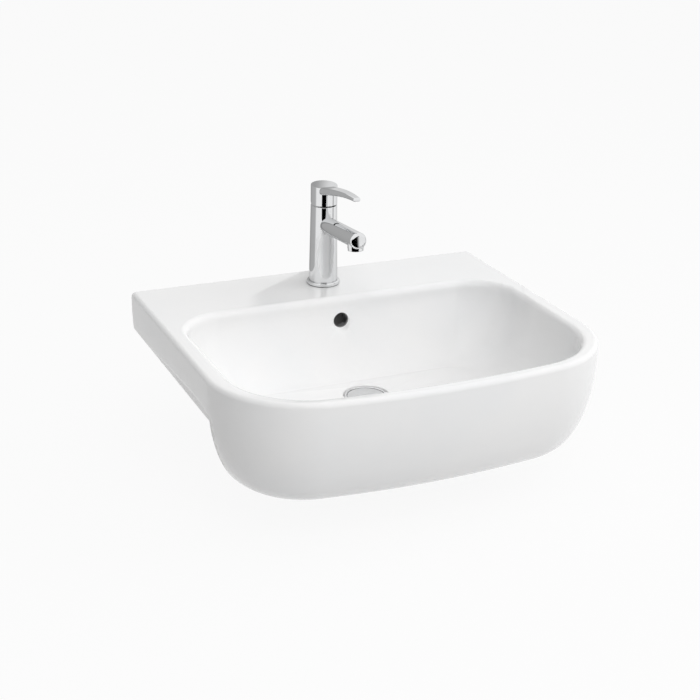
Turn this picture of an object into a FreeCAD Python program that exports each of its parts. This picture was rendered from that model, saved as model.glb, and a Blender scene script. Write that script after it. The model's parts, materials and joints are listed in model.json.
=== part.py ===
"""Semi-recessed washbasin with a single-lever mixer tap and a push-open waste.

All sizes are millimetres. +X is to the right of the person at the basin, +Y points to the
wall and +Z is up. The origin is the middle of the basin's back edge, on the plane where the
ceramic seat rests on the worktop.
"""
import FreeCAD, Part
import math
import os

# --- Basin: outside -------------------------------------------------------------------
basin_width = 560.0
basin_depth = 490.0             # back edge to the middle of the front
front_bow = 10.0                # the middle of the front stands this far ahead of its ends
front_corner_radius = 134.0
back_corner_radius = 8.0
rim_height = 56.0               # seat to rim top
rim_outer_round = 7.0
rim_inner_round = 9.0
rim_block_height = 12.0         # upright part of the rim, under which the sides start to curve
worktop_depth = 355.0           # back edge to the front face of the worktop
shoulder_gap = 1.0              # between the worktop's front face and the apron's shoulder
apron_drop = 100.0              # seat to the apron's underside
apron_curve_top = 31.0          # above the seat, where the sides start to curve in
apron_inset = 57.0              # how far the sides curve in by the underside

# --- Basin: bowl ----------------------------------------------------------------------
side_rim = 28.0
front_rim = 22.0
deck_depth = 133.0              # back edge to the bowl
bowl_depth = 118.0              # rim top to the floor at the back
bowl_bow = 8.0
bowl_front_radius = 107.0
bowl_back_radius = 65.0
bowl_curve_top = 30.0           # above the seat, where the bowl's walls start to curve
bowl_side_inset = 62.0          # how far sides and front curve in by the floor
bowl_back_inset = 24.0
bowl_back_lean = 0.20           # the back wall comes forward this much for each mm down
floor_front_radius = 70.0
floor_back_radius = 42.0
floor_tilt = 1.6                # degrees, the floor falls to the back

# --- Basin: ceramic walls -------------------------------------------------------------
bowl_wall = 12.0
skirt_wall = 18.0
apron_wall = 12.0
shoulder_wall = 12.0
deck_thickness = 14.0
apron_lip = 18.0                # flat return at the underside of the apron
apron_pocket_top = -30.0        # height at which the pocket behind the apron ends
loft_steps = 6                  # sections over a quarter of a curve

# --- Basin: holes ---------------------------------------------------------------------
tap_back_distance = 64.0        # back edge to the tap's axis
tap_hole_radius = 17.5
overflow_radius = 11.0
overflow_below_rim = 36.0
overflow_mouth = 7.5            # how deep and how far the hole's mouth flares
overflow_mouth_lead = 5.0       # the flare starts this far before the wall
channel_width = 26.0
channel_depth = 14.0
channel_wall = 8.0
channel_back_distance = 108.0   # back edge to the overflow channel
channel_knee = 35.0             # below the seat, where the channel turns towards the waste
channel_lean = 0.8              # below the knee it comes forward this much for each mm down
channel_low_height = 9.0        # where it enters the hole for the waste
channel_above_boss = 14.0       # underside of the waste's boss to the channel's floor
deck_pocket_gap = 3.0           # bowl's shell to the front of the hollow under the deck
wall_fixing_radius = 7.0
wall_fixing_spacing = 280.0
wall_fixing_height = 22.0
waste_back_distance = 228.0     # back edge to the waste's axis
flange_radius = 32.0
flange_recess_gap = 1.5         # round the waste's flange
flange_recess_depth = 4.0       # at the shallow side of the sloping floor
tail_radius = 20.9
waste_hole_gap = 2.1            # round the waste's tail
waste_hole_radius = tail_radius + waste_hole_gap
waste_boss_radius = 40.0
waste_boss_height = 32.0        # clamped between the flange and the back nut

# --- Waste ----------------------------------------------------------------------------
flange_thickness = 3.0
flange_edge = 1.2
flange_gasket_thickness = 1.5
flange_gasket_inset = 1.0       # gasket's edge inside the flange's
dish_edge = 0.6
dish_radius = 28.0
dish_depth = 2.2                # the plug lies in the dish
throat_depth = 3.0              # dish down to the tail's bore
throat_radius = 21.6
hub_height = 5.0                # plain part under the flange that centres it in the ceramic
hub_clearance = 0.5
hub_taper = 1.5
tail_bore_radius = 17.5
latch_ledge = 1.5               # width of the ledge in the tail that the latch's ring sits on
tail_length = 92.0              # flange underside to the tail's end
groove_below_nut = 0.5          # relief groove that ends the trap's stretch of the tail
groove_width = 2.0
groove_depth = 0.9
window_width = 12.0
window_height = 12.0
window_below_recess = 10.0
window_above_ring = 2.0         # latch's ring to the windows
window_count = 4
plug_clearance = 0.8
plug_radius = dish_radius - plug_clearance
plug_thickness = 2.2
plug_edge = 0.5
plug_crown = 0.8
plug_crown_steps = 5
plug_travel = 8.0
plug_boss_radius = 14.0
plug_boss_height = 3.4
plug_seal_width = 2.6
plug_seal_height = 2.4
plunger_radius = 3.1
plunger_clearance = 0.08
plunger_collar_radius = 5.9
plunger_collar_height = 2.0
plunger_reach = 26.0            # plug's underside to the collar's top
collar_clearance = 0.4
latch_wall = 1.7
latch_floor = 3.0
latch_guide = 4.0
latch_headroom = 0.4            # above the collar when the plug is up
latch_ring_height = 8.0
latch_ring_wall = 2.0
latch_arm_width = 3.0
latch_arm_count = 3
spring_wire_radius = 0.5
spring_end_gap = 0.05
spring_turns = 5
spring_closed_length = 14.0
spring_mean_radius = plunger_collar_radius - 2 * spring_wire_radius
gasket_clearance = 0.3
lower_gasket_radius = 33.0
lower_gasket_taper = 5.0
lower_gasket_height = 7.0
slip_washer_radius = 34.0
slip_washer_height = 2.0
backnut_across_flats = 54.0
backnut_height = 10.0
thread_clearance = 0.1

# --- Tap: column and spout ------------------------------------------------------------
seal_radius = 24.0
seal_thickness = 1.0
base_ring_radius = 24.6
base_ring_height = 5.0
base_ring_bore_radius = 17.2
base_ring_round = 1.8
seal_bore_gap = 0.5             # seal's bore outside the ring's
spigot_clearance = 0.2
spigot_depth = 4.5
column_bottom_radius = 21.3
column_top_radius = 19.5
column_edge_round = 0.5
column_top_above_deck = 121.5
spout_radius = 12.2
spout_rise = 4.4                # degrees
spout_above_deck = 92.7         # spout's axis where it meets the tap's axis
spout_reach = 129.5             # tap's axis to the spout's end
spout_end_round = 5.0
nozzle_reach = 116.0            # tap's axis to the middle of the nozzle
nozzle_radius = 11.6
nozzle_length = 12.4            # spout's axis to the nozzle's mouth
waterway_radius = 6.5
nozzle_bore_radius = 7.5

# --- Tap: aerator ---------------------------------------------------------------------
aerator_collar_inset = 0.3      # collar's edge inside the nozzle's
aerator_collar_height = 3.2
aerator_edge_round = 0.6
nozzle_wall = 1.4
aerator_wall = 1.2
aerator_thread_length = 7.6
aerator_lip_height = 1.2
aerator_lip_width = 1.0
aerator_insert_clearance = 0.1
aerator_insert_height = 8.4
aerator_insert_floor = 2.5
aerator_insert_wall = 1.9
aerator_hole_radius = 0.9
aerator_ring_count = 2          # rings of holes
aerator_ring_holes = 6          # in the first ring, and as many more in each next one
aerator_ring_step = 2.7
aerator_washer_height = 1.2
aerator_washer_width = 1.8
aerator_thread_radius = nozzle_radius - nozzle_wall
aerator_bore_radius = aerator_thread_radius - aerator_wall

# --- Tap: cartridge -------------------------------------------------------------------
well_wall = 2.5                 # thinnest, at the column's top
well_radius = column_top_radius - well_wall
well_depth = 28.0
cartridge_clearance = 0.2
cartridge_radius = well_radius - cartridge_clearance
cartridge_base = 3.0
cartridge_wall = 2.0
cartridge_cavity_radius = cartridge_radius - cartridge_wall
disc_clearance = 0.2
fixed_disc_height = 3.0
moving_disc_radius = 9.4
moving_disc_height = 2.5
mixing_hollow_radius = 5.4
mixing_hollow_depth = 1.2
carrier_height = 5.0
carrier_floor = 0.4
rotor_gap = 0.3
rotor_flange_clearance = 0.6
rotor_flange_height = 2.0
rotor_neck_radius = 12.0
rotor_running_clearance = 0.06
rotor_below_nut_top = 1.0
cartridge_lip = 3.4
nut_height = 6.0
nut_bore_gap = 0.6              # round the rotor's neck
dress_ring_height = 2.4
dress_ring_bore_radius = 10.2
inlet_side = 7.5                # inlet ports, left and right of the tap's axis
inlet_back = 4.5                # and behind it
outlet_front = 8.0              # outlet port, ahead of the tap's axis
port_radius = 3.6
disc_port_radius = 2.8
port_seal_bore_radius = 3.2
port_seal_radius = 4.6
port_seal_height = 1.6
lower_waterway_height = 17.0    # well floor down to where the outlet turns to the spout
spout_bore_start = 24.0         # tap's axis to where the spout's own bore begins

# --- Tap: lever -----------------------------------------------------------------------
lever_lift = 22.0               # degrees from shut to full flow
handle_gap = 2.0                # column to handle
handle_radius = 19.6
handle_height = 28.0
handle_top_slope = 4.0          # degrees down to the front
handle_wall = 2.6
handle_cavity_height = 19.0
handle_boss_radius = 7.6
handle_boss_drop = 15.0         # how far the boss reaches down into the cavity
handle_edge_round = 0.8
stem_width = 8.0
stem_fit = 0.1
stem_top_depth = 10.0           # stem held in the boss and the top
stem_below_pivot = 3.0          # pivot to the end of the square bar
stem_arm = 7.0                  # pivot to the middle of the ball
stem_ball_radius = 3.0
stem_ball_clearance = 0.25
stem_neck_radius = 2.3
pivot_above_rotor = 3.7         # rotor's shoulder to the pivot
pivot_pin_radius = 1.5
pivot_pin_inset = 1.0           # pin's ends inside the rotor's neck
pivot_clearance = 0.06
rotor_slot_length = 19.0
grub_screw_radius = 2.5
grub_screw_length = 9.0
grub_screw_below_stem = 3.4     # stem's top to the screw's axis
grub_socket_radius = 1.3
grub_socket_depth = 2.5
indicator_radius = 3.4
indicator_height = 1.6
indicator_sink = 0.1
blade_reach = 119.0             # tap's axis to the blade's tip
blade_root_width = 27.0
blade_root_height = 11.0
blade_tip_width = 10.0
blade_tip_height = 5.6
blade_start = 12.0              # tap's axis to the first section, inside the handle
blade_root_below_top = 6.4      # handle's top down to the middle of the blade's root
blade_rise = 15.0               # root to tip
blade_corner = 0.38             # rounding of the blade's long edges, share of its height
blade_tip_round = 1.7
blade_sections = 6

# --- Tap: fixings under the deck ------------------------------------------------------
hose_socket_radius = 4.5
hose_socket_depth = 14.0
stud_front = 10.0               # stud, ahead of the tap's axis
stud_radius = 4.0
stud_length = 74.0
stud_grip = 16.0
clamp_radius = 22.0
clamp_slot = 28.0
clamp_slot_start = 4.5          # the slot starts this far ahead of the tap's axis
clamp_gasket_height = 2.0
clamp_washer_height = 2.0
clamp_hole_radius = 4.3
clamp_nut_across_flats = 13.0
clamp_nut_height = 8.0

# --- Places worked out from the sizes -------------------------------------------------
half_width = basin_width / 2
bowl_half_width = half_width - side_rim
bowl_front = -(basin_depth - front_rim)
bowl_back = -deck_depth
bowl_floor = rim_height - bowl_depth
rim_block_bottom = rim_height - rim_block_height
shoulder = -(worktop_depth + shoulder_gap)
deck_underside = rim_height - deck_thickness
tap_y = -tap_back_distance
waste_y = -waste_back_distance
overflow_height = rim_height - overflow_below_rim
waste_seat = bowl_floor - flange_recess_depth
waste_boss_bottom = waste_seat - waste_boss_height
ring_bottom = rim_height + seal_thickness
column_bottom = ring_bottom + base_ring_height
column_top = rim_height + column_top_above_deck
well_floor = column_top - well_depth
fixed_disc_bottom = well_floor + cartridge_base
moving_disc_bottom = fixed_disc_bottom + fixed_disc_height
carrier_bottom = moving_disc_bottom + moving_disc_height
rotor_bottom = carrier_bottom + carrier_height + rotor_gap
rotor_shoulder = rotor_bottom + rotor_flange_height
lip_bottom = rotor_shoulder + rotor_gap
cartridge_top = lip_bottom + cartridge_lip
pivot_height = rotor_shoulder + pivot_above_rotor
handle_bottom = column_top + handle_gap
handle_top = handle_bottom + handle_height
handle_cavity_top = handle_bottom + handle_cavity_height
boss_bottom = handle_cavity_top - handle_boss_drop
stem_top = handle_cavity_top - handle_boss_drop + stem_top_depth
flange_bottom = waste_seat + flange_gasket_thickness
flange_top = flange_bottom + flange_thickness
tail_end = flange_bottom - tail_length
backnut_top = waste_boss_bottom - lower_gasket_height - slip_washer_height
backnut_bottom = backnut_top - backnut_height
groove_top = backnut_bottom - groove_below_nut
plug_bottom = flange_top - dish_depth
collar_bottom = plug_bottom - plunger_reach - plunger_collar_height
window_top = waste_seat - window_below_recess
latch_ring_bottom = window_top - window_height - window_above_ring - latch_ring_height
grub_height = stem_top - grub_screw_below_stem


# --- Small helpers --------------------------------------------------------------------
def point(x, y, z):
    return FreeCAD.Vector(x, y, z)


def cylinder(radius, bottom, top, x=0.0, y=0.0):
    return Part.makeCylinder(radius, top - bottom, point(x, y, bottom))


def tube(outer, inner, bottom, top, x=0.0, y=0.0):
    return cylinder(outer, bottom, top, x, y).cut(cylinder(inner, bottom - 1, top + 1, x, y))


def box(x0, x1, y0, y1, z0, z1):
    return Part.makeBox(x1 - x0, y1 - y0, z1 - z0, point(x0, y0, z0))


def rod(start, end, radius):
    """Round bar between two points."""
    return Part.makeCylinder(radius, (end - start).Length, start, end - start)


def hexagon(across_flats, bottom, top, x, y):
    radius = across_flats / math.sqrt(3)
    corners = []
    for corner in range(7):
        angle = math.radians(60 * corner)
        corners.append(point(x + radius * math.cos(angle), y + radius * math.sin(angle), bottom))
    face = Part.Face(Part.makePolygon(corners))
    return face.extrude(point(0, 0, top - bottom))


def turned(profile, x, y):
    """Solid of revolution about a vertical axis, from (radius, height) corners."""
    corners = [point(radius, 0, height) for radius, height in profile]
    corners.append(corners[0])
    solid = Part.Face(Part.makePolygon(corners)).revolve(point(0, 0, 0), point(0, 0, 1), 360)
    solid.translate(point(x, y, 0))
    return solid


def round_edges(shape, radius, wanted):
    """Round the edges for which wanted(edge) is true."""
    edges = [edge for edge in shape.Edges if wanted(edge)]
    return shape.makeFillet(radius, edges)


def level_at(height):
    """Test for an edge that lies flat at one height."""
    def test(edge):
        box_of_edge = edge.BoundBox
        return abs(box_of_edge.ZMin - height) < 0.01 and abs(box_of_edge.ZMax - height) < 0.01
    return test


def save(name, shape):
    if len(shape.Solids) == 1:
        shape = shape.Solids[0]
    shape.exportStep("parts/" + name + ".step")
    print("%-20s solids %d  valid %s  volume %.1f cm3"
          % (name, len(shape.Solids), shape.isValid(), shape.Volume / 1000))


# --- Basin ----------------------------------------------------------------------------
def outline(half, back, front, bow, back_radius, front_radius, height, tilt=0.0):
    """Closed D-shaped outline: straight back and sides, round corners and a bowed front."""
    back_side = half - back_radius
    front_side = half - front_radius
    front_centre = front + bow + front_radius
    reach = front_radius + bow
    bow_radius = (reach ** 2 + front_side ** 2 - front_radius ** 2) / (2 * bow)
    turn = math.atan2(front_side, bow_radius - reach)
    slant = math.sqrt(0.5)

    def corner(side, centre_x, centre_y, radius, angle):
        return point(side * (centre_x + radius * math.cos(angle)), centre_y + radius * math.sin(angle), 0)

    touch = turn - math.pi / 2
    edges = []
    edges.append(Part.LineSegment(point(-back_side, back, 0), point(back_side, back, 0)))
    edges.append(Part.Arc(point(back_side, back, 0),
                          point(back_side + back_radius * slant, back - back_radius * (1 - slant), 0),
                          point(half, back - back_radius, 0)))
    edges.append(Part.LineSegment(point(half, back - back_radius, 0), point(half, front_centre, 0)))
    edges.append(Part.Arc(point(half, front_centre, 0),
                          corner(1, front_side, front_centre, front_radius, touch / 2),
                          corner(1, front_side, front_centre, front_radius, touch)))
    edges.append(Part.Arc(corner(1, front_side, front_centre, front_radius, touch),
                          point(0, front, 0),
                          corner(-1, front_side, front_centre, front_radius, touch)))
    edges.append(Part.Arc(corner(-1, front_side, front_centre, front_radius, touch),
                          corner(-1, front_side, front_centre, front_radius, touch / 2),
                          point(-half, front_centre, 0)))
    edges.append(Part.LineSegment(point(-half, front_centre, 0), point(-half, back - back_radius, 0)))
    edges.append(Part.Arc(point(-half, back - back_radius, 0),
                          point(-back_side - back_radius * slant, back - back_radius * (1 - slant), 0),
                          point(-back_side, back, 0)))
    wire = Part.Wire([edge.toShape() for edge in edges])
    wire.rotate(point(0, back, 0), point(1, 0, 0), -tilt)
    wire.translate(point(0, 0, height))
    return wire


def basin_outline(inset, height):
    return outline(half_width - inset, 0.0, inset - basin_depth, front_bow, back_corner_radius,
                   front_corner_radius - inset, height)


def bowl_outline(angle, wall):
    """Bowl section at an angle down its quarter curve; wall moves it out, square to the surface."""
    fall = (bowl_curve_top - bowl_floor) * math.sin(angle)
    curve = 1 - math.cos(angle)
    inset = bowl_side_inset * curve - wall * math.cos(angle)
    back = bowl_back - bowl_back_lean * fall - bowl_back_inset * curve + wall * math.cos(angle)
    front = bowl_front + bowl_side_inset * curve - wall * math.cos(angle)
    front_radius = bowl_front_radius + (floor_front_radius - bowl_front_radius) * curve
    back_radius = bowl_back_radius + (floor_back_radius - bowl_back_radius) * curve
    grown = wall * math.cos(angle)
    height = bowl_curve_top - fall - wall * math.sin(angle)
    return outline(bowl_half_width - inset, back, front, bowl_bow, back_radius + grown,
                   front_radius + grown, height, floor_tilt * curve)


def rim_outline_of_bowl(wall, height):
    return outline(bowl_half_width + wall, bowl_back + wall, bowl_front - wall, bowl_bow,
                   bowl_back_radius + wall, bowl_front_radius + wall, height)


def prism(wire, top):
    bottom = wire.BoundBox.ZMin
    return Part.Face(wire).extrude(point(0, 0, top - bottom))


def quarter_angles(start):
    return [start + (math.pi / 2 - start) * step / loft_steps for step in range(loft_steps + 1)]


def bowl_form(wall):
    """The bowl's hollow, or with a wall the outside of its shell."""
    sections = [rim_outline_of_bowl(wall, rim_block_bottom)]
    sections += [bowl_outline(angle, wall) for angle in quarter_angles(0.0)]
    return Part.makeLoft(sections, True)


def apron_form():
    """The outside below the rim block, curving in to the underside."""
    drop = apron_curve_top + apron_drop
    sections = [basin_outline(0.0, rim_block_bottom)]
    for angle in quarter_angles(0.0):
        inset = apron_inset * (1 - math.cos(angle))
        sections.append(basin_outline(inset, apron_curve_top - drop * math.sin(angle)))
    return Part.makeLoft(sections, True)


def apron_pocket(shell):
    """Hollows behind the apron, outside the bowl's shell: the pocket and its way out below."""
    drop = apron_curve_top + apron_drop - apron_wall
    start = math.asin((apron_curve_top - apron_pocket_top) / drop)
    sections = []
    for angle in quarter_angles(start):
        inset = apron_inset * (1 - math.cos(angle)) + apron_wall * math.cos(angle)
        sections.append(basin_outline(inset, apron_curve_top - drop * math.sin(angle)))
    pocket = Part.makeLoft(sections, True)
    opening = prism(basin_outline(apron_inset + apron_lip, -apron_drop - 1), apron_wall - apron_drop + 1)
    behind = box(-half_width, half_width, shoulder - shoulder_wall, 1, -apron_drop - 2, rim_height)
    return [pocket.cut(behind).cut(shell), opening.cut(behind)]


def deck_pocket():
    """Hollow under the deck, where the tap is fixed; open to below."""
    side = half_width - skirt_wall
    front = bowl_back + bowl_wall + deck_pocket_gap
    return box(-side, side, front, -skirt_wall, -1, deck_underside)


def side_profile(corners, width):
    """Upright plate of the given width from (y, z) corners."""
    points = [point(-width / 2, y, z) for y, z in corners]
    points.append(points[0])
    return Part.Face(Part.makePolygon(points)).extrude(point(width, 0, 0))


def overflow_channel(extra):
    """Water passage from the overflow to the waste; extra thickens it into its casing."""
    rear = -channel_back_distance + extra
    front = rear - channel_depth - 2 * extra
    top = overflow_height + channel_depth + extra
    floor = waste_boss_bottom + channel_above_boss - extra
    ceiling = floor + channel_low_height + 2 * extra
    forward = channel_lean * (-channel_knee - floor)
    corners = [(rear, top), (rear, -channel_knee), (rear - forward, floor), (waste_y, floor),
               (waste_y, ceiling), (front - forward, ceiling), (front, -channel_knee), (front, top)]
    return side_profile(corners, channel_width + 2 * extra)


def overflow_hole():
    """Round hole through the bowl's back wall, with a softened mouth."""
    fall = bowl_curve_top - overflow_height
    wall_y = bowl_back - bowl_back_lean * fall
    hole = rod(point(0, waste_y, overflow_height), point(0, -channel_back_distance - 1, overflow_height),
               overflow_radius)
    mouth = Part.makeCone(overflow_radius + overflow_mouth, overflow_radius, overflow_mouth,
                          point(0, wall_y - overflow_mouth_lead, overflow_height), point(0, 1, 0))
    return hole.fuse(mouth)


def basin_body():
    upper = prism(basin_outline(0.0, rim_block_bottom), rim_height)
    upper = round_edges(upper, rim_outer_round, level_at(rim_height))
    upper = upper.cut(prism(rim_outline_of_bowl(0.0, rim_block_bottom), rim_height + 1))
    inside = bowl_half_width + 1

    def bowl_edge(edge):
        edge_box = edge.BoundBox
        return level_at(rim_height)(edge) and edge_box.YMax < bowl_back + 1 and edge_box.XMax < inside \
            and edge_box.XMin > -inside and edge_box.YMin > bowl_front - 1

    upper = round_edges(upper, rim_inner_round, bowl_edge)

    lower = apron_form().cut(box(-half_width - 1, half_width + 1, shoulder, 1, -apron_drop - 1, 0))
    shell = bowl_form(bowl_wall)
    boss = cylinder(waste_boss_radius, waste_boss_bottom, bowl_floor, 0, waste_y)
    for hollow in apron_pocket(shell) + [deck_pocket()]:
        lower = lower.cut(hollow)
    lower = lower.fuse([shell, boss, overflow_channel(channel_wall)])
    lower = lower.cut(bowl_form(0.0))
    body = upper.fuse(lower)

    holes = [overflow_hole(), overflow_channel(0.0)]
    holes.append(cylinder(waste_hole_radius, waste_boss_bottom - 1, rim_height, 0, waste_y))
    holes.append(cylinder(flange_radius + flange_recess_gap, waste_seat, rim_height, 0, waste_y))
    holes.append(cylinder(tap_hole_radius, deck_underside - 1, rim_height + 1, 0, tap_y))
    for side in (-1, 1):
        x = side * wall_fixing_spacing / 2
        holes.append(rod(point(x, -skirt_wall - 1, wall_fixing_height), point(x, 1, wall_fixing_height),
                         wall_fixing_radius))
    for hole in holes:
        body = body.cut(hole)
    return body


# --- Waste ----------------------------------------------------------------------------
def waste_body():
    """Flange and threaded tail in one piece, with windows for the overflow water."""
    hub_bottom = flange_bottom - hub_height
    hub_radius = waste_hole_radius - hub_clearance
    lower_bore_radius = tail_bore_radius - latch_ledge
    profile = [(tail_bore_radius, plug_bottom - throat_depth), (throat_radius, plug_bottom),
               (dish_radius, plug_bottom), (dish_radius, flange_top - dish_edge),
               (dish_radius + dish_edge, flange_top), (flange_radius - flange_edge, flange_top),
               (flange_radius, flange_top - flange_edge), (flange_radius, flange_bottom),
               (hub_radius, flange_bottom), (hub_radius, hub_bottom),
               (tail_radius, hub_bottom - hub_taper), (tail_radius, tail_end),
               (lower_bore_radius, tail_end), (lower_bore_radius, latch_ring_bottom),
               (tail_bore_radius, latch_ring_bottom)]
    body = turned(profile, 0, waste_y)
    body = body.cut(tube(tail_radius + 1, tail_radius - groove_depth, groove_top - groove_width, groove_top,
                         0, waste_y))
    for window in range(window_count):
        angle = 360.0 * (window + 0.5) / window_count
        hole = box(plug_boss_radius, waste_hole_radius, -window_width / 2, window_width / 2,
                   window_top - window_height, window_top)
        hole.rotate(point(0, 0, 0), point(0, 0, 1), angle)
        hole.translate(point(0, waste_y, 0))
        body = body.cut(hole)
    return body


def waste_plug():
    """Round cap that lies in the flange's dish, with the boss that takes the plunger."""
    edge = plug_bottom + plug_thickness - plug_crown
    top_radius = plug_radius - plug_edge
    profile = [(0, plug_bottom), (plug_radius, plug_bottom), (plug_radius, edge - plug_edge)]
    profile.append((top_radius, edge))
    for step in range(1, plug_crown_steps + 1):
        radius = top_radius * (1 - step / plug_crown_steps)
        profile.append((radius, edge + plug_crown * (1 - (radius / top_radius) ** 2)))
    cap = turned(profile, 0, waste_y)
    boss = cylinder(plug_boss_radius, plug_bottom - plug_boss_height, plug_bottom, 0, waste_y)
    hole = cylinder(plunger_radius, plug_bottom - plug_boss_height - 1, plug_bottom, 0, waste_y)
    return cap.fuse(boss).cut(hole)


def plug_seal():
    bottom = plug_bottom - plug_seal_height
    return tube(plug_boss_radius + plug_seal_width, plug_boss_radius, bottom, plug_bottom, 0, waste_y)


def latch_plunger():
    """Push rod under the plug, with the collar that the spring lifts."""
    shaft = cylinder(plunger_radius, collar_bottom, plug_bottom, 0, waste_y)
    collar = cylinder(plunger_collar_radius, collar_bottom, collar_bottom + plunger_collar_height, 0, waste_y)
    return shaft.fuse(collar)


def latch_housing():
    """Cup for the spring, held in the tail by a ring on three arms; water runs past the arms."""
    cavity_radius = plunger_collar_radius + collar_clearance
    cavity_top = collar_bottom + plunger_collar_height + plug_travel + latch_headroom
    cavity_floor = collar_bottom - spring_closed_length
    hub_radius = cavity_radius + latch_wall
    hub = cylinder(hub_radius, cavity_floor - latch_floor, cavity_top + latch_guide, 0, waste_y)
    ring_outer = tail_bore_radius - thread_clearance
    ring_inner = ring_outer - latch_ring_wall
    ring_top = latch_ring_bottom + latch_ring_height
    housing = hub.fuse(tube(ring_outer, ring_inner, latch_ring_bottom, ring_top, 0, waste_y))
    for arm in range(latch_arm_count):
        bar = box(hub_radius - latch_wall / 2, ring_inner + latch_ring_wall / 2, -latch_arm_width / 2,
                  latch_arm_width / 2, latch_ring_bottom, ring_top)
        bar.rotate(point(0, 0, 0), point(0, 0, 1), 90 + 360.0 * arm / latch_arm_count)
        bar.translate(point(0, waste_y, 0))
        housing = housing.fuse(bar)
    housing = housing.cut(cylinder(cavity_radius, cavity_floor, cavity_top, 0, waste_y))
    guide_radius = plunger_radius + plunger_clearance
    return housing.cut(cylinder(guide_radius, cavity_top - 1, cavity_top + latch_guide + 1, 0, waste_y))


def latch_spring():
    """Compression spring between the cup's floor and the plunger's collar."""
    end = spring_wire_radius + spring_end_gap
    bottom = collar_bottom - spring_closed_length + end
    height = spring_closed_length - 2 * end
    path = Part.makeHelix(height / spring_turns, height, spring_mean_radius)
    start = Part.Wire(Part.makeCircle(spring_wire_radius, point(spring_mean_radius, 0, 0), point(0, 1, 0)))
    spring = Part.Wire(path).makePipeShell([start], True, True)
    spring.translate(point(0, waste_y, bottom))
    return spring


def flange_gasket():
    outer = flange_radius - flange_gasket_inset
    return tube(outer, waste_hole_radius + gasket_clearance, waste_seat, flange_bottom, 0, waste_y)


def lower_gasket():
    """Tapered rubber ring under the ceramic boss."""
    bottom = waste_boss_bottom - lower_gasket_height
    bore = tail_radius + thread_clearance
    profile = [(bore, bottom), (lower_gasket_radius, bottom),
               (lower_gasket_radius - lower_gasket_taper, waste_boss_bottom), (bore, waste_boss_bottom)]
    return turned(profile, 0, waste_y)


def slip_washer():
    top = waste_boss_bottom - lower_gasket_height
    return tube(slip_washer_radius, tail_radius + thread_clearance, top - slip_washer_height, top, 0, waste_y)


def waste_backnut():
    """Hexagon nut with its lower corners turned off at 45 degrees."""
    flat = backnut_across_flats / 2
    high = backnut_bottom + flat
    cone = turned([(0, backnut_bottom), (flat, backnut_bottom), (2 * flat, high), (0, high)], 0, waste_y)
    nut = hexagon(backnut_across_flats, backnut_bottom, backnut_top, 0, waste_y).common(cone)
    return nut.cut(cylinder(tail_radius + thread_clearance, backnut_bottom - 1, backnut_top + 1, 0, waste_y))


# --- Tap: outside ---------------------------------------------------------------------
def base_seal():
    return tube(seal_radius, base_ring_bore_radius + seal_bore_gap, rim_height, ring_bottom, 0, tap_y)


def base_ring():
    ring = cylinder(base_ring_radius, ring_bottom, column_bottom, 0, tap_y)
    ring = round_edges(ring, base_ring_round, level_at(column_bottom))
    return ring.cut(cylinder(base_ring_bore_radius, ring_bottom - 1, column_bottom + 1, 0, tap_y))


def spout_point(reach, above=0.0):
    """Point on the spout's axis at a level distance from the tap's axis, or square above it."""
    rise = math.radians(spout_rise)
    return point(0, tap_y - reach - above * math.sin(-rise), rim_height + spout_above_deck
                 + reach * math.tan(rise) + above * math.cos(rise))


def at_nozzle(shape):
    """Move a shape built about a vertical axis, mouth at zero, to the spout's nozzle."""
    shape.rotate(point(0, 0, 0), point(1, 0, 0), -spout_rise)
    shape.translate(spout_point(nozzle_reach, -nozzle_length))
    return shape


def ports():
    """Centres of the two inlets and the outlet in the cartridge's base."""
    return [(-inlet_side, tap_y + inlet_back), (inlet_side, tap_y + inlet_back), (0.0, tap_y - outlet_front)]


def tap_body():
    """Column, spout and nozzle in one casting, bored for the cartridge, the water and the fixings."""
    column = Part.makeCone(column_bottom_radius, column_top_radius, column_top - column_bottom,
                           point(0, tap_y, column_bottom))
    column = round_edges(column, column_edge_round, level_at(column_top))
    spigot_radius = base_ring_bore_radius - spigot_clearance
    spigot_bottom = column_bottom - spigot_depth
    spigot = cylinder(spigot_radius, spigot_bottom, column_bottom + 1, 0, tap_y)
    spout = rod(spout_point(0), spout_point(spout_reach), spout_radius)
    end = spout_point(spout_reach)

    def end_edge(edge):
        return abs(edge.BoundBox.Center.y - end.y) < 2.0 and len(edge.Vertexes) < 2

    spout = round_edges(spout, spout_end_round, end_edge)
    nozzle = at_nozzle(cylinder(nozzle_radius, 0, nozzle_length))
    body = column.fuse([spigot, spout, nozzle])

    body = body.cut(cylinder(well_radius, well_floor, column_top + 1, 0, tap_y))
    turn_height = well_floor - lower_waterway_height
    inlets = ports()[:2]
    outlet_x, outlet_y = ports()[2]
    for x, y in inlets:
        socket_top = spigot_bottom + hose_socket_depth
        body = body.cut(cylinder(port_radius, socket_top - 1, well_floor + 1, x, y))
        body = body.cut(cylinder(hose_socket_radius, spigot_bottom - 1, socket_top, x, y))
    body = body.cut(cylinder(port_radius, turn_height, well_floor + 1, outlet_x, outlet_y))
    bend = spout_point(spout_bore_start)
    low = point(outlet_x, outlet_y, turn_height + port_radius / 2)
    body = body.cut(rod(low, bend, port_radius))
    body = body.cut(rod(bend, spout_point(nozzle_reach), waterway_radius))
    body = body.cut(at_nozzle(cylinder(nozzle_bore_radius, 0, nozzle_length)))
    body = body.cut(at_nozzle(cylinder(aerator_thread_radius + thread_clearance, -1,
                                       aerator_thread_length + aerator_washer_height)))
    stud_hole = cylinder(stud_radius, spigot_bottom - 1, spigot_bottom + stud_grip, 0, tap_y - stud_front)
    return body.cut(stud_hole)


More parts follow.
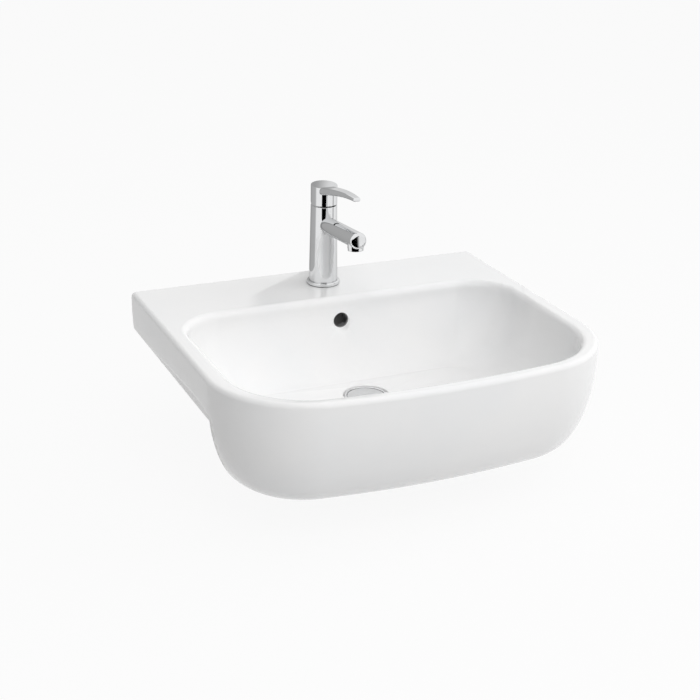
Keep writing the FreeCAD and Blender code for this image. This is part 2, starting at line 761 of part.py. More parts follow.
def aerator_housing():
    collar = cylinder(nozzle_radius - aerator_collar_inset, -aerator_collar_height, 0)
    collar = round_edges(collar, aerator_edge_round, level_at(-aerator_collar_height))
    housing = collar.fuse(cylinder(aerator_thread_radius, -aerator_wall, aerator_thread_length))
    seat = aerator_lip_height - aerator_collar_height
    mouth_radius = aerator_bore_radius - aerator_lip_width
    housing = housing.cut(cylinder(aerator_bore_radius, seat, aerator_thread_length + 1))
    housing = housing.cut(cylinder(mouth_radius, -aerator_collar_height - 1, seat + 1))
    return at_nozzle(housing)


def aerator_insert():
    """Plastic flow straightener, pierced by rings of small holes."""
    bottom = aerator_lip_height - aerator_collar_height
    top = bottom + aerator_insert_height
    radius = aerator_bore_radius - aerator_insert_clearance
    insert = cylinder(radius, bottom, top)
    insert = insert.cut(cylinder(radius - aerator_insert_wall, bottom + aerator_insert_floor, top + 1))
    insert = insert.cut(cylinder(aerator_hole_radius, bottom - 1, top))
    for ring in range(1, aerator_ring_count + 1):
        ring_radius = ring * aerator_ring_step
        count = ring * aerator_ring_holes
        for hole in range(count):
            angle = 2 * math.pi * hole / count
            insert = insert.cut(cylinder(aerator_hole_radius, bottom - 1, top,
                                         ring_radius * math.cos(angle), ring_radius * math.sin(angle)))
    return at_nozzle(insert)


def aerator_washer():
    washer = tube(aerator_thread_radius, aerator_thread_radius - aerator_washer_width, aerator_thread_length,
                  aerator_thread_length + aerator_washer_height)
    return at_nozzle(washer)


# --- Tap: cartridge -------------------------------------------------------------------
def cartridge_housing():
    """Plastic cup in the column's well: ported base, cavity for the discs and a guiding lip."""
    housing = cylinder(cartridge_radius, well_floor, cartridge_top, 0, tap_y)
    housing = housing.cut(cylinder(cartridge_cavity_radius, fixed_disc_bottom, lip_bottom, 0, tap_y))
    guide = rotor_neck_radius + rotor_running_clearance
    housing = housing.cut(cylinder(guide, lip_bottom - 1, cartridge_top + 1, 0, tap_y))
    for x, y in ports():
        housing = housing.cut(cylinder(disc_port_radius, well_floor - 1, fixed_disc_bottom + 1, x, y))
        housing = housing.cut(cylinder(port_seal_radius, well_floor - 1, well_floor + port_seal_height, x, y))
    return housing


def port_seals():
    rings = []
    top = well_floor + port_seal_height
    for x, y in ports():
        rings.append(tube(port_seal_radius, port_seal_bore_radius, well_floor, top, x, y))
    return Part.makeCompound(rings)


def fixed_disc():
    disc = cylinder(cartridge_cavity_radius - disc_clearance, fixed_disc_bottom, moving_disc_bottom, 0, tap_y)
    for x, y in ports():
        disc = disc.cut(cylinder(disc_port_radius, fixed_disc_bottom - 1, moving_disc_bottom + 1, x, y))
    return disc


def moving_disc():
    """Ceramic disc with the mixing hollow in its polished face."""
    disc = cylinder(moving_disc_radius, moving_disc_bottom, carrier_bottom, 0, tap_y)
    hollow_top = moving_disc_bottom + mixing_hollow_depth
    return disc.cut(cylinder(mixing_hollow_radius, moving_disc_bottom - 1, hollow_top, 0, tap_y))


def disc_carrier():
    """Plastic driver on the moving disc; the stem's ball pushes it to and fro."""
    top = carrier_bottom + carrier_height
    carrier = cylinder(moving_disc_radius, carrier_bottom, top, 0, tap_y)
    socket_radius = stem_ball_radius + stem_ball_clearance
    return carrier.cut(cylinder(socket_radius, carrier_bottom + carrier_floor, top + 1, 0, tap_y))


def cross_pin(half_length, radius):
    """Round bar along the lever's pivot."""
    return rod(point(-half_length, tap_y, pivot_height), point(half_length, tap_y, pivot_height), radius)


def cartridge_rotor():
    """Turning head that carries the stem's pivot pin."""
    top = cartridge_top + nut_height - rotor_below_nut_top
    base_radius = cartridge_cavity_radius - rotor_flange_clearance
    rotor = cylinder(base_radius, rotor_bottom, rotor_shoulder, 0, tap_y)
    rotor = rotor.fuse(cylinder(rotor_neck_radius, rotor_bottom, top, 0, tap_y))
    half = stem_width / 2 + stem_fit
    reach = rotor_slot_length / 2
    rotor = rotor.cut(box(-half, half, tap_y - reach, tap_y + reach, rotor_bottom - 1, top + 1))
    return rotor.cut(cross_pin(rotor_neck_radius + 1, pivot_pin_radius))


def stem_pin():
    return cross_pin(rotor_neck_radius - pivot_pin_inset, pivot_pin_radius)


def lever_stem():
    """Square bar that carries the handle, pinned in the rotor, with a ball in the carrier."""
    half = stem_width / 2
    bar_bottom = pivot_height - stem_below_pivot
    bar = box(-half, half, tap_y - half, tap_y + half, bar_bottom, stem_top)
    ball_height = pivot_height - stem_arm
    neck = cylinder(stem_neck_radius, ball_height, bar_bottom + 1, 0, tap_y)
    ball = Part.makeSphere(stem_ball_radius, point(0, tap_y, ball_height))
    return bar.fuse([neck, ball]).cut(cross_pin(stem_width, pivot_pin_radius + pivot_clearance))


def cartridge_nut():
    top = cartridge_top + nut_height
    bore_radius = rotor_neck_radius + nut_bore_gap
    return tube(well_radius - thread_clearance, bore_radius, cartridge_top, top, 0, tap_y)


def dress_ring():
    bottom = cartridge_top + nut_height
    top = bottom + dress_ring_height
    return tube(well_radius - thread_clearance, dress_ring_bore_radius, bottom, top, 0, tap_y)


# --- Tap: handle ----------------------------------------------------------------------
def blade_section(width, height, reach, centre):
    """Upright outline of the blade, a rectangle with round corners."""
    rounding = blade_corner * height
    half_w = width / 2
    half_h = height / 2
    slant = rounding * (1 - math.sqrt(0.5))
    y = tap_y - reach
    edges = []
    corners = [(1, 1), (-1, 1), (-1, -1), (1, -1)]
    for index, (sx, sz) in enumerate(corners):
        across = point(sx * (half_w - rounding), y, centre + sz * half_h)
        beside = point(sx * half_w, y, centre + sz * (half_h - rounding))
        middle = point(sx * (half_w - slant), y, centre + sz * (half_h - slant))
        first, last = (beside, across) if index % 2 == 0 else (across, beside)
        edges.append(Part.Arc(first, middle, last).toShape())
        next_sx, next_sz = corners[(index + 1) % 4]
        if index % 2 == 0:
            target = point(next_sx * (half_w - rounding), y, centre + next_sz * half_h)
        else:
            target = point(next_sx * half_w, y, centre + next_sz * (half_h - rounding))
        edges.append(Part.LineSegment(last, target).toShape())
    return Part.Wire(edges)


def blade():
    """Lever blade: narrows and rises from the handle to the tip."""
    sections = []
    for step in range(blade_sections + 1):
        share = step / blade_sections
        reach = blade_start + (blade_reach - blade_start) * share
        width = blade_root_width + (blade_tip_width - blade_root_width) * share
        height = blade_root_height + (blade_tip_height - blade_root_height) * share
        rise = blade_rise * math.sin(share * math.pi / 2)
        sections.append(blade_section(width, height, reach, handle_top - blade_root_below_top + rise))
    form = Part.makeLoft(sections, True)
    tip_y = tap_y - blade_reach

    def tip_edge(edge):
        return abs(edge.BoundBox.YMin - tip_y) < 0.05 and abs(edge.BoundBox.YMax - tip_y) < 0.05

    return round_edges(form, blade_tip_round, tip_edge)


def handle_side_hole(start, radius):
    """Round hole into the back of the handle, from a distance behind the tap's axis outwards."""
    outside = tap_y + handle_radius + 1
    return rod(point(0, tap_y + start, grub_height), point(0, outside, grub_height), radius)


def handle():
    """Cap with a sloping top and the blade, hollow below round the boss that holds the stem."""
    big = 2 * handle_radius
    cap = cylinder(handle_radius, handle_bottom, handle_top + big, 0, tap_y)
    above = box(-big, big, -big, big, 0, 2 * big)
    above.rotate(point(0, 0, 0), point(1, 0, 0), handle_top_slope)
    above.translate(point(0, tap_y, handle_top))
    cap = cap.cut(above)
    cap = round_edges(cap, handle_edge_round, lambda edge: edge.BoundBox.ZMin > handle_cavity_top
                      and edge.BoundBox.XLength > handle_radius)
    cap = cap.fuse(blade())

    cavity = cylinder(handle_radius - handle_wall, handle_bottom - 1, handle_cavity_top, 0, tap_y)
    cavity = cavity.cut(cylinder(handle_boss_radius, boss_bottom, handle_cavity_top + 1, 0, tap_y))
    cap = cap.cut(cavity)

    relief = box(-big, big, 0, big, -big, 0)
    relief.rotate(point(0, 0, 0), point(1, 0, 0), lever_lift)
    relief.translate(point(0, tap_y, handle_bottom))
    cap = cap.cut(relief)

    half = stem_width / 2
    cap = cap.cut(box(-half, half, tap_y - half, tap_y + half, boss_bottom - 1, stem_top))
    cap = cap.cut(handle_side_hole(half - 1, grub_screw_radius))
    return cap.cut(handle_side_hole(handle_radius - indicator_height, indicator_radius))


def grub_screw():
    start = tap_y + stem_width / 2
    end = start + grub_screw_length
    screw = rod(point(0, start, grub_height), point(0, end, grub_height), grub_screw_radius)
    socket = rod(point(0, end - grub_socket_depth, grub_height), point(0, end + 1, grub_height),
                 grub_socket_radius)
    return screw.cut(socket)


def indicator_plug():
    plug = handle_side_hole(handle_radius - indicator_height, indicator_radius)
    return plug.common(cylinder(handle_radius - indicator_sink, handle_bottom, handle_top, 0, tap_y))


# --- Tap: fixings under the deck ------------------------------------------------------
def clamp_plate(bottom, top):
    """Horseshoe under the deck: holds the stud and leaves its slot free for the hoses."""
    plate = cylinder(clamp_radius, bottom, top, 0, tap_y)
    slot = box(-clamp_slot / 2, clamp_slot / 2, tap_y - clamp_slot_start, tap_y + clamp_radius + 1,
               bottom - 1, top + 1)
    plate = plate.cut(slot)
    return plate.cut(cylinder(clamp_hole_radius, bottom - 1, top + 1, 0, tap_y - stud_front))


def fixing_stud():
    top = column_bottom - spigot_depth + stud_grip
    return cylinder(stud_radius, top - stud_length, top, 0, tap_y - stud_front)


def fixing_nut():
    top = deck_underside - clamp_gasket_height - clamp_washer_height
    nut = hexagon(clamp_nut_across_flats, top - clamp_nut_height, top, 0, tap_y - stud_front)
    return nut.cut(cylinder(stud_radius + thread_clearance, top - clamp_nut_height - 1, top + 1, 0,
                            tap_y - stud_front))


def main():
    os.makedirs("parts", exist_ok=True)
    gasket_bottom = deck_underside - clamp_gasket_height
    pieces = {
        "basin_body": basin_body(),
        "waste_body": waste_body(),
        "waste_plug": waste_plug(),
        "plug_seal": plug_seal(),
        "latch_plunger": latch_plunger(),
        "latch_housing": latch_housing(),
        "latch_spring": latch_spring(),
        "flange_gasket": flange_gasket(),
        "lower_gasket": lower_gasket(),
        "slip_washer": slip_washer(),
        "waste_backnut": waste_backnut(),
        "tap_base_seal": base_seal(),
        "tap_base_ring": base_ring(),
        "tap_body": tap_body(),
        "aerator_housing": aerator_housing(),
        "aerator_insert": aerator_insert(),
        "aerator_washer": aerator_washer(),
        "cartridge_housing": cartridge_housing(),
        "port_seals": port_seals(),
        "fixed_disc": fixed_disc(),
        "moving_disc": moving_disc(),
        "disc_carrier": disc_carrier(),
        "cartridge_rotor": cartridge_rotor(),
        "stem_pin": stem_pin(),
        "lever_stem": lever_stem(),
        "cartridge_nut": cartridge_nut(),
        "dress_ring": dress_ring(),
        "handle": handle(),
        "grub_screw": grub_screw(),
        "indicator_plug": indicator_plug(),
        "clamp_gasket": clamp_plate(gasket_bottom, deck_underside),
        "clamp_washer": clamp_plate(gasket_bottom - clamp_washer_height, gasket_bottom),
        "fixing_stud": fixing_stud(),
        "fixing_nut": fixing_nut(),
    }
    for name, shape in pieces.items():
        save(name, shape)


main()
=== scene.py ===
import bpy
import json
import math
from mathutils import Matrix, Vector


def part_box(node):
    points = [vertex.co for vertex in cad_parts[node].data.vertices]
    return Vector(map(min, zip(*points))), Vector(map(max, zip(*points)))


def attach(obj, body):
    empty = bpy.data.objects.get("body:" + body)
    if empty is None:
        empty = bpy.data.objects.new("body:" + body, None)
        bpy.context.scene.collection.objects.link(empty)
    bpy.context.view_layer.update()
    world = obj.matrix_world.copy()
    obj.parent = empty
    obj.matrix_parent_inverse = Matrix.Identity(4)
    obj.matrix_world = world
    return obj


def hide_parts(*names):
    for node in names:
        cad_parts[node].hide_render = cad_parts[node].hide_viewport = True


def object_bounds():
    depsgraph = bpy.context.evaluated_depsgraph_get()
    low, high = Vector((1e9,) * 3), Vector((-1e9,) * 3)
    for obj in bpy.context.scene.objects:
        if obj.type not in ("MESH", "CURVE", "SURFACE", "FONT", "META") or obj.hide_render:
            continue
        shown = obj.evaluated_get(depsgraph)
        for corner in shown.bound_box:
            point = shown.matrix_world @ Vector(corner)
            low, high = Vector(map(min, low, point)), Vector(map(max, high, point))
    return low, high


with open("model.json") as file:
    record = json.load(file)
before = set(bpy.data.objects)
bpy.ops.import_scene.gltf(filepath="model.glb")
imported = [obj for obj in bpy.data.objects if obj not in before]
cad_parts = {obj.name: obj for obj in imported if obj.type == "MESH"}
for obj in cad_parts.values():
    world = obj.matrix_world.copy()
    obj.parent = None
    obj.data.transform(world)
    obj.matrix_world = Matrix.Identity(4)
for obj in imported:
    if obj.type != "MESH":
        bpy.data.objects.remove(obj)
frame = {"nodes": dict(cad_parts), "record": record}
cadBox = [list(corner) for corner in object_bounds()]
nodes = frame["nodes"]
slotOf = {part["node"]: part["material_slot"] for part in frame["record"]["subparts"]}
bpy.ops.object.select_all(action="DESELECT")
print("frame loaded:", len(nodes), "nodes")


# shader maths written as expressions
class Signal:
    def __init__(self, finish, socket):
        self.finish = finish
        self.socket = socket

    def maths(self, operation, first, second=0.0):
        return self.finish.node("ShaderNodeMath", {"operation": operation}, {0: first, 1: second})

    def __add__(self, other):
        return self.maths("ADD", self, other)

    def __radd__(self, other):
        return self.maths("ADD", other, self)

    def __sub__(self, other):
        return self.maths("SUBTRACT", self, other)

    def __rsub__(self, other):
        return self.maths("SUBTRACT", other, self)

    def __mul__(self, other):
        return self.maths("MULTIPLY", self, other)

    def __rmul__(self, other):
        return self.maths("MULTIPLY", other, self)

    def __abs__(self):
        return self.maths("ABSOLUTE", self)

    def __lt__(self, other):
        return self.maths("LESS_THAN", self, other)

    def __gt__(self, other):
        return self.maths("GREATER_THAN", self, other)

    def between(self, low, high):
        return (self > low) * (self < high)

    def fade(self, start, end):
        # 0 before start, 1 after end, smooth between
        settings = {"interpolation_type": "SMOOTHSTEP"}
        sockets = {"Value": self, "From Min": start, "From Max": end}
        return self.finish.node("ShaderNodeMapRange", settings, sockets)


# the shader nodes of one owner, which is a material or the world
class Finish:
    def __init__(self, owner, coordinates="Object"):
        owner.use_nodes = True
        self.owner = owner
        self.tree = owner.node_tree
        self.tree.nodes.clear()
        self.place = self.node("ShaderNodeTexCoord", {}, {}, coordinates)

    def node(self, kind, settings, sockets, output=0):
        made = self.tree.nodes.new(kind)
        for name, value in settings.items():
            setattr(made, name, value)
        for name, value in sockets.items():
            if isinstance(value, Signal):
                self.tree.links.new(value.socket, made.inputs[name])
            else:
                made.inputs[name].default_value = value
        return Signal(self, made.outputs[output]) if made.outputs else None

    def noise(self, scale, detail=2.0, stretch=(1.0, 1.0, 1.0)):
        place = self.node("ShaderNodeMapping", {"vector_type": "POINT"},
                          {"Vector": self.place, "Scale": stretch})
        return self.node("ShaderNodeTexNoise", {}, {"Vector": place, "Scale": scale, "Detail": detail})

    def blend(self, share, first, second):
        return self.node("ShaderNodeMix", {"data_type": "RGBA"}, {0: share, 6: first, 7: second}, 2)

    def axis(self, name):
        return self.node("ShaderNodeSeparateXYZ", {}, {0: self.place}, name)

    def facing(self, name):
        # the way the surface points, on one axis of the object
        normal = self.node("ShaderNodeTexCoord", {}, {}, "Normal")
        return self.node("ShaderNodeSeparateXYZ", {}, {0: normal}, name)

    def bump(self, height):
        return self.node("ShaderNodeBump", {}, {"Height": height, "Distance": 1.0, "Strength": 1.0})

    def directView(self):
        # 1 for what the camera sees, straight or mirrored in something glossy
        seen = self.node("ShaderNodeLightPath", {}, {}, "Is Camera Ray")
        mirrored = self.node("ShaderNodeLightPath", {}, {}, "Is Glossy Ray")
        return seen + mirrored

    def surface(self, sockets):
        shader = self.node("ShaderNodeBsdfPrincipled", {}, sockets)
        self.node("ShaderNodeOutputMaterial", {}, {"Surface": shader})
        return self.owner


def materialFinish(name):
    return Finish(bpy.data.materials.new(name))


def grey(level, warmth=0.0):
    return (level * (1 + warmth), level, level * (1 - warmth), 1.0)


# ceramic; lengths in metres
glazeLook = {
    "colour": grey(0.93, 0.002),
    "pooledColour": grey(0.912, -0.004),     # a little cooler where the glaze lies thicker
    "poolFrom": 0.35,
    "poolTo": 0.7,
    "cloudScale": 7.0,
    "waveScale": 22.0,
    "waveDepth": 0.00022,
    "pinScale": 900.0,
    "pinDepth": 0.000012,
    "roughness": 0.16,
    "roughnessSpread": 0.06,
    "coat": 0.3,
    "coatRoughness": 0.05,
    "index": 1.5,
    "biscuitColour": (0.70, 0.66, 0.60, 1.0),
    "biscuitRoughness": 0.5,
    "biscuitReach": 0.0008,                  # how far above a ground face the glaze is missing
    "levelFrom": 0.97,                       # how squarely a ground face points down
    "levelTo": 0.995,
    "hollowShadeColour": grey(0.28),              # painted shade inside the overflow's bore and channel, a recess in shadow
    "holeRadius": 0.0116,                    # overflow hole and a hair more
    "holeHeight": 0.020,
    "mouthBack": -0.1455,                    # where the hole's flared mouth has narrowed to its bore
    "channelFront": -0.1225,
    "channelBack": -0.1075,
    "channelBottom": -0.036,
    "channelTop": 0.0345,
    "channelHalfWidth": 0.0135,
}


def bareFaces(finish, look, height):
    # the ground faces that the basin stands on and the apron's lower edge carry no glaze
    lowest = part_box("basin_body")[0][2]
    reach = look["biscuitReach"]
    down = (0.0 - finish.facing("Z")).fade(look["levelFrom"], look["levelTo"])
    seat = abs(height).fade(2 * reach, reach)
    edge = abs(height - lowest).fade(2 * reach, reach)
    return down * (seat + edge)


def overflowShadeMask(finish, look, height):
    # the overflow's bore and the channel behind it, where the glaze is darkened as painted shade
    across = finish.axis("X")
    depth = finish.axis("Y")
    rise = height - look["holeHeight"]
    bore = (across * across + rise * rise) < look["holeRadius"] ** 2
    bore = bore * depth.between(look["mouthBack"], look["channelBack"])
    channel = abs(across) < look["channelHalfWidth"]
    channel = channel * depth.between(look["channelFront"], look["channelBack"])
    channel = channel * height.between(look["channelBottom"], look["channelTop"])
    return bore + channel


def whiteGlaze(look):
    finish = materialFinish("white_glaze")
    cloud = finish.noise(look["cloudScale"], detail=3.0)
    wave = finish.noise(look["waveScale"], detail=1.0)
    pins = finish.noise(look["pinScale"])
    height = finish.axis("Z")
    bare = bareFaces(finish, look, height)
    pooled = cloud.fade(look["poolFrom"], look["poolTo"])
    colour = finish.blend(pooled, look["colour"], look["pooledColour"])
    colour = finish.blend(bare, colour, look["biscuitColour"])
    # painted shade: the overflow's bore and channel are darkened to stand in for their shadow
    colour = finish.blend(overflowShadeMask(finish, look, height), colour, look["hollowShadeColour"])
    rough = look["roughness"] + cloud * look["roughnessSpread"] + bare * look["biscuitRoughness"]
    relief = wave * look["waveDepth"] + pins * look["pinDepth"]
    return finish.surface({
        "Base Color": colour,
        "Roughness": rough,
        "Normal": finish.bump(relief),
        "IOR": look["index"],
        "Coat Weight": look["coat"] * (1.0 - bare),
        "Coat Roughness": look["coatRoughness"],
        "Coat IOR": look["index"],
    })


chromeLook = {
    "colour": grey(0.80, -0.008),
    "dulledColour": grey(0.72, -0.004),
    "edgeTint": grey(0.70),
    "smudgeScale": 34.0,
    "smudgeFrom": 0.5,
    "smudgeTo": 0.8,
    "smudgeShare": 0.5,
    "smudgeRoughness": 0.03,
    "spotScale": 306.0,
    "spotFrom": 0.68,
    "spotTo": 0.76,
    "spotShare": 0.3,
    "spotRoughness": 0.05,
    "grainScale": 650.0,
    "grainDepth": 0.000004,
    "roughness": 0.045,
    "tailColour": grey(0.46),                # darker, rougher chrome on the waste's tail
    "tailRoughness": 0.2,
    "tailTop": -0.085,
}


def polishedChrome(look):
    finish = materialFinish("chrome")
    smudge = finish.noise(look["smudgeScale"], detail=4.0)
    grain = finish.noise(look["grainScale"])
    spots = finish.noise(look["spotScale"], detail=1.0).fade(look["spotFrom"], look["spotTo"])
    smudged = smudge.fade(look["smudgeFrom"], look["smudgeTo"])
    dulled = smudged * look["smudgeShare"] + spots * look["spotShare"]
    tail = finish.axis("Z") < look["tailTop"]
    colour = finish.blend(dulled, look["colour"], look["dulledColour"])
    colour = finish.blend(tail, colour, look["tailColour"])
    rough = look["roughness"] + smudge * look["smudgeRoughness"] + spots * look["spotRoughness"]
    return finish.surface({
        "Base Color": colour,
        "Metallic": 1.0,
        "Roughness": rough + tail * look["tailRoughness"],
        "Specular Tint": look["edgeTint"],
        "Normal": finish.bump(grain * look["grainDepth"]),
    })


rubberLook = {
    "colour": grey(0.022),
    "bloomColour": grey(0.05),
    "bloomScale": 90.0,
    "bloomFrom": 0.4,
    "bloomTo": 0.8,
    "grainScale": 1400.0,
    "grainDepth": 0.00002,
    "roughness": 0.62,
    "roughnessSpread": 0.25,
}


def blackRubber(look):
    finish = materialFinish("black_rubber")
    bloom = finish.noise(look["bloomScale"], detail=4.0)
    grain = finish.noise(look["grainScale"])
    bloomed = bloom.fade(look["bloomFrom"], look["bloomTo"])
    return finish.surface({
        "Base Color": finish.blend(bloomed, look["colour"], look["bloomColour"]),
        "Roughness": look["roughness"] + bloom * look["roughnessSpread"],
        "Normal": finish.bump(grain * look["grainDepth"]),
    })


plasticLook = {
    "flowScale": 60.0,
    "flowStretch": (1.0, 1.0, 0.35),
    "flowFrom": 0.35,
    "flowTo": 0.75,
    "grainScale": 1100.0,
    "grainDepth": 0.000012,
    "roughnessSpread": 0.15,
}


def mouldedPlastic(name, look, colour, deeper, roughness):
    finish = materialFinish(name)
    flow = finish.noise(look["flowScale"], 3.0, look["flowStretch"])
    grain = finish.noise(look["grainScale"])
    return finish.surface({
        "Base Color": finish.blend(flow.fade(look["flowFrom"], look["flowTo"]), colour, deeper),
        "Roughness": roughness + flow * look["roughnessSpread"],
        "Normal": finish.bump(grain * look["grainDepth"]),
    })


metalLook = {
    "ringWidth": 40.0,                       # lathe rings run level, so they are fine in height only
    "ringDepth": 0.00002,
    "ringRoughness": 0.2,
    "stainScale": 120.0,
    "stainFrom": 0.35,
    "stainTo": 0.75,
}


def turnedMetal(name, look, colour, deeper, roughness, pitch):
    finish = materialFinish(name)
    rings = finish.noise(1.0, 2.0, (look["ringWidth"], look["ringWidth"], pitch))
    stain = finish.noise(look["stainScale"], detail=4.0)
    return finish.surface({
        "Base Color": finish.blend(stain.fade(look["stainFrom"], look["stainTo"]), colour, deeper),
        "Metallic": 1.0,
        "Roughness": roughness + rings * look["ringRoughness"],
        "Normal": finish.bump(rings * look["ringDepth"]),
    })


discLook = {
    "colour": (0.86, 0.84, 0.78, 1.0),
    "deeperColour": (0.80, 0.78, 0.72, 1.0),
    "grainScale": 1500.0,
    "grainDepth": 0.000006,
    "roughness": 0.3,
    "roughnessSpread": 0.15,
}


def groundCeramic(look):
    finish = materialFinish("disc_ceramic")
    grain = finish.noise(look["grainScale"], detail=3.0)
    return finish.surface({
        "Base Color": finish.blend(grain, look["colour"], look["deeperColour"]),
        "Roughness": look["roughness"] + grain * look["roughnessSpread"],
        "Normal": finish.bump(grain * look["grainDepth"]),
    })


# plastics: colour, deeper colour, roughness
plastics = {
    "black_plastic": (grey(0.035), grey(0.055), 0.38),
    "white_plastic": (grey(0.78, 0.01), grey(0.70, 0.02), 0.35),
    "grey_plastic": (grey(0.30), grey(0.24), 0.18),
}
# turned metals: colour, deeper colour, roughness, rings in a metre of height
metals = {
    "stainless_steel": (grey(0.56), grey(0.46), 0.24, 2600.0),
    "brass": ((0.66, 0.47, 0.20, 1.0), (0.52, 0.35, 0.14, 1.0), 0.26, 2200.0),
    # dull_nickel is dark grey painted shade for the parts in the gap under the lever's cap
    "dull_nickel": (grey(0.20), grey(0.14), 0.4, 2200.0),
}
# brass underneath, but dark grey dull_nickel where it shows in the gap under the lever's cap: painted
# shade for that shadowed gap
shadedGapFinish = {"cartridge_nut": "dull_nickel", "lever_stem": "dull_nickel"}

finishes = {
    "white_glaze": whiteGlaze(glazeLook),
    "chrome": polishedChrome(chromeLook),
    "black_rubber": blackRubber(rubberLook),
    "disc_ceramic": groundCeramic(discLook),
}
for name, values in plastics.items():
    finishes[name] = mouldedPlastic(name, plasticLook, *values)
for name, values in metals.items():
    finishes[name] = turnedMetal(name, metalLook, *values)
for name, node in nodes.items():
    node.data.materials.clear()
    node.data.materials.append(finishes[shadedGapFinish.get(name, slotOf[name])])
print("finishes made:", len(finishes))


# the basin's skin: the same casting, merged and shaded as one soft surface
skinLook = {
    "mergeGap": 0.00001,
    "sharpestSoftAngle": 22.0,               # degrees
    "flatness": 60,                          # how far large faces rule the shading next to small ones
}


def softSkin(node, body, look):
    bpy.ops.object.select_all(action="DESELECT")
    skin = node.copy()
    skin.data = node.data.copy()
    skin.name = node.name + "_skin"
    bpy.context.scene.collection.objects.link(skin)
    bpy.context.view_layer.objects.active = skin
    skin.select_set(True)
    bpy.ops.object.mode_set(mode="EDIT")
    bpy.ops.mesh.select_all(action="SELECT")
    bpy.ops.mesh.remove_doubles(threshold=look["mergeGap"])
    bpy.ops.object.mode_set(mode="OBJECT")
    bpy.ops.object.shade_smooth_by_angle(angle=math.radians(look["sharpestSoftAngle"]))
    bpy.ops.object.modifier_add(type="WEIGHTED_NORMAL")
    skin.modifiers[-1].keep_sharp = True
    skin.modifiers[-1].weight = look["flatness"]
    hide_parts(node.name)
    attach(skin, body)


softSkin(nodes["basin_body"], "basin", skinLook)
print("basin skin made")


# camera at the photograph's viewing angle
cameraLook = {
    "azimuth": -24.081,                      # degrees, to the left of the front
    "elevation": 21.992,
    "roll": 1.107,
    "place": (-0.78986, -1.93539, 0.76728),
    "focalPixels": 1429.85,
    "framePixels": 700,
    "sensorWidth": 36.0,                     # millimetres
    "farthest": 60.0,
}


def placeCamera(look):
    azimuth = math.radians(look["azimuth"])
    elevation = math.radians(look["elevation"])
    roll = math.radians(look["roll"])
    outward = Vector((math.sin(azimuth), -math.cos(azimuth), 0)) * math.cos(elevation)
    back = outward + Vector((0, 0, math.sin(elevation)))
    level = Vector((0, 0, 1)).cross(back).normalized()
    upright = back.cross(level)
    right = level * math.cos(roll) + upright * math.sin(roll)
    up = upright * math.cos(roll) - level * math.sin(roll)
    camera = bpy.data.objects.new("camera", bpy.data.cameras.new("camera"))
    bpy.context.scene.collection.objects.link(camera)
    camera.matrix_world = Matrix((right, up, back)).transposed().to_4x4()
    camera.location = look["place"]
    camera.data.sensor_width = look["sensorWidth"]
    camera.data.lens = look["focalPixels"] / look["framePixels"] * look["sensorWidth"]
    camera.data.clip_end = look["farthest"]
    bpy.context.scene.camera = camera


placeCamera(cameraLook)
bpy.context.scene.view_settings.view_transform = "Standard"


# plain pale floor, just under the object
floorLook = {
    "size": 24.0,
    "gap": 0.0005,
    "colour": grey(0.72),
    "patchColour": grey(0.70),
    "patchScale": 3.0,
    "ownLight": 0.92,                        # share of plain white in what the camera sees
}


def layFloor(look):
    height = cadBox[0][2] - look["gap"]
    bpy.ops.mesh.primitive_plane_add(size=look["size"], location=(0, 0, height))
    floor = bpy.context.object
    floor.name = "floor"
    finish = materialFinish("floor")
    shade = finish.blend(finish.noise(look["patchScale"]), look["colour"], look["patchColour"])
    matt = finish.node("ShaderNodeBsdfDiffuse", {}, {"Color": shade})
    white = finish.node("ShaderNodeEmission", {}, {"Color": grey(1.0), "Strength": 1.0})
    share = finish.directView() * look["ownLight"]
    mixed = finish.node("ShaderNodeMixShader", {}, {0: share, 1: matt, 2: white})
    finish.node("ShaderNodeOutputMaterial", {}, {"Surface": mixed})
    floor.data.materials.append(finish.owner)


# the sky lights softly, and is plain white where it is seen
skyLook = {
    "strength": 0.52,
    "toRight": 0.45,                         # how much brighter it is on the right than ahead
    "toTop": 0.10,
}


def lightSky(look):
    sky = Finish(bpy.data.worlds.new("sky"), "Generated")
    bpy.context.scene.world = sky.owner
    level = look["strength"] + sky.axis("X") * look["toRight"] + sky.axis("Z") * look["toTop"]
    lit = sky.node("ShaderNodeBackground", {}, {"Color": grey(1.0), "Strength": level})
    white = sky.node("ShaderNodeBackground", {}, {"Color": grey(1.0), "Strength": 1.0})
    mixed = sky.node("ShaderNodeMixShader", {}, {0: sky.directView(), 1: lit, 2: white})
    sky.node("ShaderNodeOutputWorld", {}, {"Surface": mixed})


# soft lamps, all aimed at the middle of the basin; metres and watts
lampTarget = Vector((0.0, -0.25, 0.0))
lamps = {
    "keyRight": {"place": (1.9, -0.6, 1.3), "size": 1.4, "power": 9.0},
    "frontSoft": {"place": (-0.25, -1.9, 1.7), "size": 1.6, "power": 17.0},
    "topSoft": {"place": (-0.3, -0.3, 1.9), "size": 1.2, "power": 3.0},
}


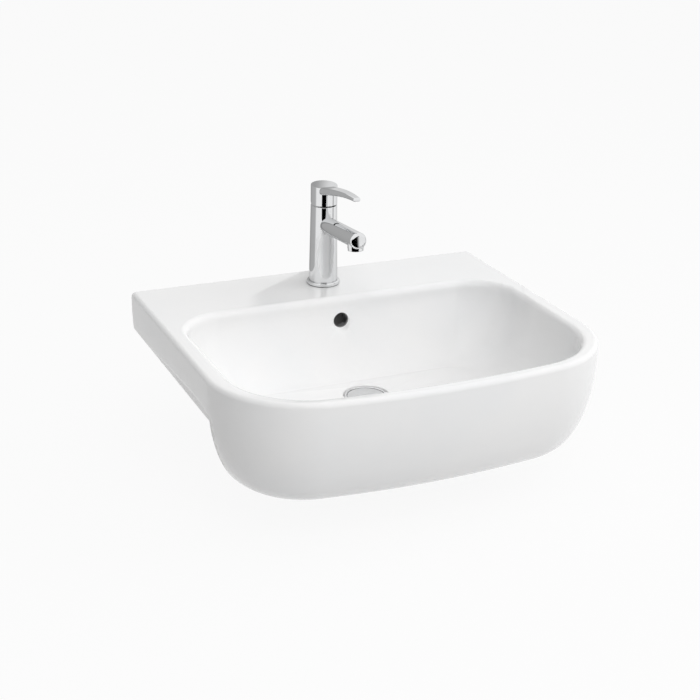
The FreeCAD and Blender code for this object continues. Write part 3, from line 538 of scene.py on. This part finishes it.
def hangLamp(name, look):
    light = bpy.data.lights.new(name, "AREA")
    light.shape = "SQUARE"
    light.size = look["size"]
    light.energy = look["power"]
    lamp = bpy.data.objects.new(name, light)
    bpy.context.scene.collection.objects.link(lamp)
    lamp.location = look["place"]
    aim = lampTarget - lamp.location
    lamp.rotation_euler = aim.to_track_quat("-Z", "Y").to_euler()
    lamp.visible_glossy = False


# cards that only reflections see, for the dark and grey bands in the polished metal; each stands
# at a bearing in degrees and a distance from the tap's axis, facing it, between two heights, and
# fades out to white over the soft share of its width
cards = {
    "blackFront": {
        "bearing": -17, "away": 0.163, "width": 0.145, "low": 0.098, "high": 0.175,
        "level": 0.0, "soft": 0.04,
    },
    "greyLeftBack": {
        "bearing": -146, "away": 0.060, "width": 0.24, "low": 0.060, "high": 0.30,
        "level": 0.48, "soft": 0.22,
    },
    "greyRight": {
        "bearing": 62, "away": 0.30, "width": 0.10, "low": -0.05, "high": 0.20,
        "level": 0.55, "soft": 0.2,
    },
}


def standCard(name, look):
    ringLow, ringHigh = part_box("tap_base_ring")
    middle = Vector(((ringLow[0] + ringHigh[0]) / 2, (ringLow[1] + ringHigh[1]) / 2,
                     (look["low"] + look["high"]) / 2))
    bearing = math.radians(look["bearing"])
    away = Vector((math.sin(bearing), -math.cos(bearing), 0)) * look["away"]
    bpy.ops.mesh.primitive_plane_add(size=1, location=middle + away, rotation=(math.pi / 2, 0, bearing))
    card = bpy.context.object
    card.name = name
    card.scale = (look["width"], look["high"] - look["low"], 1)
    finish = materialFinish(name)
    inward = (0.5 - abs(finish.axis("X"))).fade(0.0, look["soft"])
    colour = finish.blend(inward, grey(1.0), grey(look["level"]))
    glow = finish.node("ShaderNodeEmission", {}, {"Color": colour})
    finish.node("ShaderNodeOutputMaterial", {}, {"Surface": glow})
    card.data.materials.append(finish.owner)
    card.visible_camera = False
    card.visible_diffuse = False
    card.visible_shadow = False


for name, look in cards.items():
    standCard(name, look)
layFloor(floorLook)
lightSky(skyLook)
for name, look in lamps.items():
    hangLamp(name, look)
print("studio ready")
